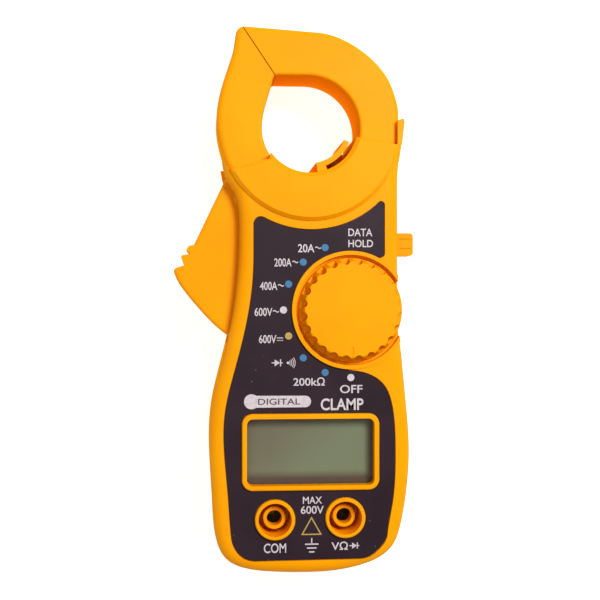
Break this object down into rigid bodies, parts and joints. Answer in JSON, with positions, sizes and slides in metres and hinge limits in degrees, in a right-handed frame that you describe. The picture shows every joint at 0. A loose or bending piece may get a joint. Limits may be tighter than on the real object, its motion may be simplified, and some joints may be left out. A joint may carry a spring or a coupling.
{
  "type": "clamp meter",
  "caption": "Pocket clamp meter: hinged jaw opened by a side trigger, rotary function dial, recessed display, hold button and two shrouded 4 mm sockets.",
  "frame": {"origin": "on the back rest face, on the case's middle line, level with the dial", "axes": "+Z out of the front panel, +Y towards the jaws, +X to the right as the dial is read"},
  "size_m": [0.0644, 0.1431, 0.031],
  "materials": {
    "body_yellow": "satin injection-moulded ABS, warm yellow-orange",
    "panel_black": "near-black printed polycarbonate sheet",
    "rating_plate": "plain grey foil without text",
    "clear_window": "clear polycarbonate",
    "lcd_cell": "grey-green reflective liquid-crystal cell",
    "inner_black": "moulded black",
    "conductive_rubber": "silicone",
    "board_green": "solder mask",
    "component_blue": "epoxy-dipped",
    "steel": "zinc-plated",
    "brass": "turned and plated",
    "copper_wire": "enamelled copper wire",
    "core_steel": "laminated silicon steel",
    "cell_jacket": "plain printed sleeve"
  },
  "bodies": {
    "case": {"front_case": "body_yellow", "rear_case": "body_yellow", "front_label": "panel_black", "rear_label": "rating_plate", "lcd_window": "clear_window", "lcd_glass": "lcd_cell", "lcd_holder": "inner_black", "zebra_strips": "conductive_rubber", "circuit_board": "board_green", "board_screws": "steel", "board_components": "component_blue", "driver_chip": "inner_black", "buzzer": "inner_black", "hold_switch": "inner_black", "hold_spring": "steel", "socket_lugs": "brass", "com_socket_barrel": "body_yellow", "v_ohm_socket_barrel": "body_yellow", "com_socket_post": "body_yellow", "v_ohm_socket_post": "body_yellow", "com_jack": "brass", "v_ohm_jack": "brass", "battery_cell_1": "cell_jacket", "battery_cell_2": "cell_jacket", "battery_contacts": "brass", "battery_springs": "steel", "case_screws": "steel", "pivot_pin": "steel", "return_spring": "steel", "fixed_jaw_front": "body_yellow", "fixed_jaw_rear": "body_yellow", "fixed_core": "core_steel", "coil_bobbin": "inner_black", "coil_winding": "copper_wire", "coil_pins": "brass"},
    "moving_jaw": {"moving_jaw_front": "body_yellow", "moving_jaw_rear": "body_yellow", "moving_core": "core_steel", "jaw_screws": "steel", "pivot_bush": "brass"},
    "dial": {"selector_knob": "body_yellow", "dial_rotor": "inner_black", "wiper_contacts": "brass", "knob_screw": "steel", "detent_ball": "steel", "detent_spring": "steel"},
    "hold_button": {"hold_button": "body_yellow"},
    "battery_cover": {"battery_cover": "body_yellow", "battery_cover_screw": "steel"}
  },
  "joints": [
    {"name": "jaw_hinge", "type": "hinge", "parent": "case", "child": "moving_jaw", "pos_m": [-0.0148, 0.027, 0.0155], "axis": [0, 0, 1], "range_deg": [0, 28], "stiffness_Nm_per_rad": 0.6, "springref_deg": -20.05, "deforming": ["return_spring"]},
    {"name": "dial_turn", "type": "hinge", "parent": "case", "child": "dial", "pos_m": [0.0107, -0.0029, 0.028], "axis": [0, 0, 1], "range_deg": [-157.5, 0]},
    {"name": "hold_button_press", "type": "slide", "parent": "case", "child": "hold_button", "axis": [-1, 0, 0], "range_m": [0, 0.0012], "stiffness_N_per_m": 1500, "springref_m": -0.0006, "deforming": ["hold_spring"]},
    {"name": "battery_cover_lift", "type": "slide", "parent": "case", "child": "battery_cover", "axis": [0, 0, -1], "range_m": [0, 0.012]}
  ]
}
